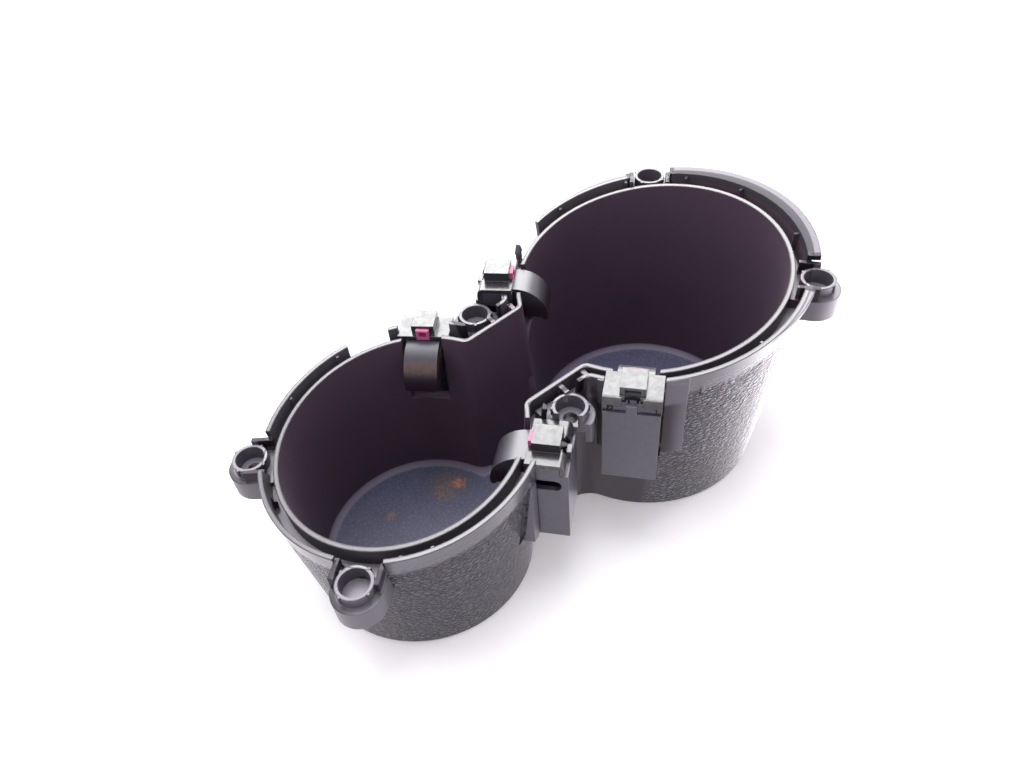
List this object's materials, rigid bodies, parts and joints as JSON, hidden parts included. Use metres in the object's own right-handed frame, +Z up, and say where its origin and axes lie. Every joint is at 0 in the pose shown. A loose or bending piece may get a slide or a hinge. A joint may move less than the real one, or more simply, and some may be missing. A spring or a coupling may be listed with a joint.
{
  "type": "car cup holder",
  "caption": "Console insert with a small and a large round cup joined by a throat, a sloping double rim, screw bosses and sprung grip fingers",
  "frame": {"origin": "On the flat underside, on the large cup's axis.", "axes": "+X runs from the small cup to the large cup, +Y to the left, +Z up out of the cups."},
  "size_m": [0.1941, 0.0974, 0.0808],
  "materials": {
    "body_plastic": "dark grained moulding, smooth inside",
    "grip_plastic": "satin smooth moulding",
    "cap_plastic": "semi-gloss moulding",
    "finger_plastic": "satin moulding, polished by use",
    "steel": "plain drawn wire and pin",
    "stop_rubber": "matt magenta rubber"
  },
  "bodies": {
    "holder": {"cup_body": "body_plastic", "grip_housing_small_left": "grip_plastic", "grip_cap_small_left": "cap_plastic", "grip_pin_small_left": "steel", "grip_spring_small_left": "steel", "grip_stop_small_left": "stop_rubber", "grip_housing_large_left": "grip_plastic", "grip_cap_large_left": "cap_plastic", "grip_pin_large_left": "steel", "grip_spring_large_left": "steel", "grip_stop_large_left": "stop_rubber", "grip_housing_small_right": "grip_plastic", "grip_cap_small_right": "cap_plastic", "grip_pin_small_right": "steel", "grip_spring_small_right": "steel", "grip_stop_small_right": "stop_rubber", "grip_housing_large_right": "grip_plastic", "grip_cap_large_right": "cap_plastic", "grip_pin_large_right": "steel", "grip_spring_large_right": "steel", "grip_stop_large_right": "stop_rubber"},
    "finger_small_left": {"grip_finger_small_left": "finger_plastic"},
    "finger_large_left": {"grip_finger_large_left": "finger_plastic"},
    "finger_small_right": {"grip_finger_small_right": "finger_plastic"},
    "finger_large_right": {"grip_finger_large_right": "finger_plastic"}
  },
  "joints": [
    {"name": "finger_small_left_hinge", "type": "hinge", "parent": "holder", "child": "finger_small_left", "pos_m": [-0.06734, 0.03261, 0.0561], "axis": [0.7638, -0.6455, 0], "range_deg": [0, 60], "stiffness_Nm_per_rad": 0.04, "springref_deg": -22.92},
    {"name": "finger_large_left_hinge", "type": "hinge", "parent": "holder", "child": "finger_large_left", "pos_m": [-0.03627, 0.03175, 0.0639], "axis": [0.6587, 0.7524, 0], "range_deg": [0, 60], "stiffness_Nm_per_rad": 0.04, "springref_deg": -22.92},
    {"name": "finger_small_right_hinge", "type": "hinge", "parent": "holder", "child": "finger_small_right", "pos_m": [-0.06465, -0.03014, 0.0561], "axis": [-0.7059, -0.7083, 0], "range_deg": [0, 60], "stiffness_Nm_per_rad": 0.04, "springref_deg": -22.92},
    {"name": "finger_large_right_hinge", "type": "hinge", "parent": "holder", "child": "finger_large_right", "pos_m": [-0.03444, -0.03372, 0.0639], "axis": [-0.6997, 0.7145, 0], "range_deg": [0, 60], "stiffness_Nm_per_rad": 0.04, "springref_deg": -22.92}
  ]
}
